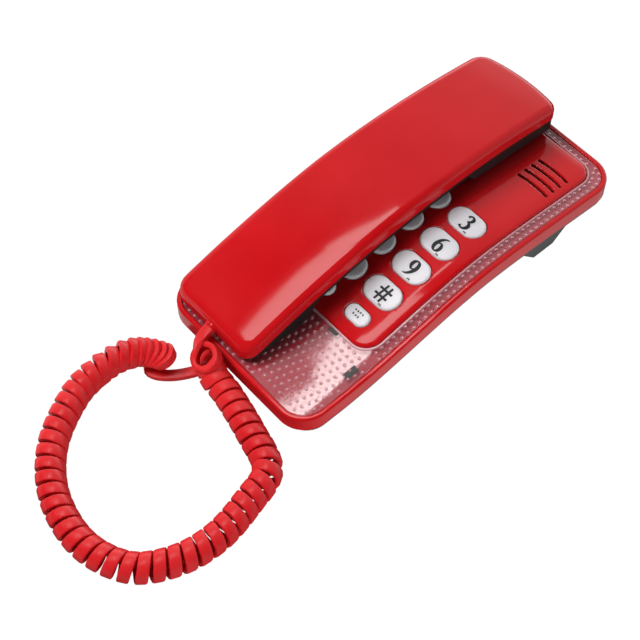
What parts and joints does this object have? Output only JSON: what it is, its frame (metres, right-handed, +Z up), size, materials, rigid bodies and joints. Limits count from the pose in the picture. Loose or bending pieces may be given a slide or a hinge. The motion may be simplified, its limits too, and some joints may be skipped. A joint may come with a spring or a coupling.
{
  "type": "corded desk telephone",
  "caption": "Red desk telephone with an arched base, round-ended keys in a raised panel, a clear dotted bezel and a bridge-shaped handset on a curly cord.",
  "frame": {"origin": "on the table, under the middle of the base's plan, without the cord", "axes": "+Z up, +Y from the mouthpiece end towards the earpiece end, +X from the handset side towards the open keypad side"},
  "size_m": [0.1137, 0.3056, 0.0437],
  "materials": {
    "red_gloss": "polished red moulding",
    "dark_grey_plastic": "fine matt dark grey moulding",
    "clear_plastic": "clear moulding over red, with small raised dots",
    "white_key": "satin pale lavender white",
    "grey_rubber": "soft matt",
    "silicone_mat": "soft matt grey",
    "circuit_board": "resist-coated laminate",
    "steel": "plain",
    "brass": "plain",
    "grey_foam": "open foam",
    "red_cord": "satin flexible sheath"
  },
  "bodies": {
    "base": {"base_housing": "red_gloss", "base_bottom_cover": "dark_grey_plastic", "snap_tab_side": "dark_grey_plastic", "snap_tab_middle": "dark_grey_plastic", "clear_bezel": "clear_plastic", "keypad_panel": "red_gloss", "keypad_mat": "silicone_mat", "main_circuit_board": "circuit_board", "ringer_disc": "brass", "hook_spring": "steel", "hook_switch": "dark_grey_plastic", "desk_stand": "dark_grey_plastic", "rubber_foot_front_left": "grey_rubber", "rubber_foot_front_right": "grey_rubber", "rubber_foot_back_left": "grey_rubber", "rubber_foot_back_right": "grey_rubber", "cover_screw_1": "steel", "cover_screw_2": "steel", "cover_screw_3": "steel", "cover_screw_4": "steel", "line_jack": "dark_grey_plastic", "base_cord_gland": "red_gloss", "cord_tail_handset": "red_cord", "cord_coil": "red_cord", "cord_tail_base": "red_cord"},
    "handset": {"handset_back_shell": "red_gloss", "handset_face_shell": "dark_grey_plastic", "receiver_capsule": "steel", "receiver_seal": "grey_foam", "microphone_capsule": "steel", "microphone_boot": "grey_rubber", "handset_weight": "steel", "handset_screw_1": "steel", "handset_screw_2": "steel", "handset_cord_gland": "red_gloss"},
    "hook": {"hook_plunger": "dark_grey_plastic"},
    "button_1": {"key_1": "white_key"},
    "button_2": {"key_2": "white_key"},
    "button_3": {"key_3": "white_key"},
    "button_4": {"key_4": "white_key"},
    "button_5": {"key_5": "white_key"},
    "button_6": {"key_6": "white_key"},
    "button_7": {"key_7": "white_key"},
    "button_8": {"key_8": "white_key"},
    "button_9": {"key_9": "white_key"},
    "button_star": {"key_star": "white_key"},
    "button_0": {"key_0": "white_key"},
    "button_hash": {"key_hash": "white_key"},
    "button_mute": {"key_mute": "white_key"},
    "button_flash": {"key_flash": "white_key"},
    "button_redial": {"key_redial": "white_key"}
  },
  "joints": [
    {"name": "handset_lift", "type": "slide", "parent": "base", "child": "handset", "axis": [0, 0, 1], "range_m": [0, 0.06]},
    {"name": "hook_rise", "type": "slide", "parent": "base", "child": "hook", "axis": [0, 0, 1], "range_m": [0, 0.0035], "deforming": ["hook_spring"]},
    {"name": "press_1", "type": "slide", "parent": "base", "child": "button_1", "axis": [0, 0, -1], "range_m": [0, 0.0015], "stiffness_N_per_m": 300, "springref_m": -0.0006},
    {"name": "press_2", "type": "slide", "parent": "base", "child": "button_2", "axis": [0, 0, -1], "range_m": [0, 0.0015], "stiffness_N_per_m": 300, "springref_m": -0.0006},
    {"name": "press_3", "type": "slide", "parent": "base", "child": "button_3", "axis": [0, 0, -1], "range_m": [0, 0.0015], "stiffness_N_per_m": 300, "springref_m": -0.0006},
    {"name": "press_4", "type": "slide", "parent": "base", "child": "button_4", "axis": [0, 0, -1], "range_m": [0, 0.0015], "stiffness_N_per_m": 300, "springref_m": -0.0006},
    {"name": "press_5", "type": "slide", "parent": "base", "child": "button_5", "axis": [0, 0, -1], "range_m": [0, 0.0015], "stiffness_N_per_m": 300, "springref_m": -0.0006},
    {"name": "press_6", "type": "slide", "parent": "base", "child": "button_6", "axis": [0, 0, -1], "range_m": [0, 0.0015], "stiffness_N_per_m": 300, "springref_m": -0.0006},
    {"name": "press_7", "type": "slide", "parent": "base", "child": "button_7", "axis": [0, 0, -1], "range_m": [0, 0.0015], "stiffness_N_per_m": 300, "springref_m": -0.0006},
    {"name": "press_8", "type": "slide", "parent": "base", "child": "button_8", "axis": [0, 0, -1], "range_m": [0, 0.0015], "stiffness_N_per_m": 300, "springref_m": -0.0006},
    {"name": "press_9", "type": "slide", "parent": "base", "child": "button_9", "axis": [0, 0, -1], "range_m": [0, 0.0015], "stiffness_N_per_m": 300, "springref_m": -0.0006},
    {"name": "press_star", "type": "slide", "parent": "base", "child": "button_star", "axis": [0, 0, -1], "range_m": [0, 0.0015], "stiffness_N_per_m": 300, "springref_m": -0.0006},
    {"name": "press_0", "type": "slide", "parent": "base", "child": "button_0", "axis": [0, 0, -1], "range_m": [0, 0.0015], "stiffness_N_per_m": 300, "springref_m": -0.0006},
    {"name": "press_hash", "type": "slide", "parent": "base", "child": "button_hash", "axis": [0, 0, -1], "range_m": [0, 0.0015], "stiffness_N_per_m": 300, "springref_m": -0.0006},
    {"name": "press_mute", "type": "slide", "parent": "base", "child": "button_mute", "axis": [0, 0, -1], "range_m": [0, 0.0015], "stiffness_N_per_m": 300, "springref_m": -0.0006},
    {"name": "press_flash", "type": "slide", "parent": "base", "child": "button_flash", "axis": [0, 0, -1], "range_m": [0, 0.0015], "stiffness_N_per_m": 300, "springref_m": -0.0006},
    {"name": "press_redial", "type": "slide", "parent": "base", "child": "button_redial", "axis": [0, 0, -1], "range_m": [0, 0.0015], "stiffness_N_per_m": 300, "springref_m": -0.0006}
  ],
  "couplings": [
    {"joint": "hook_rise", "follows": "handset_lift", "ratio": 0.058333}
  ]
}
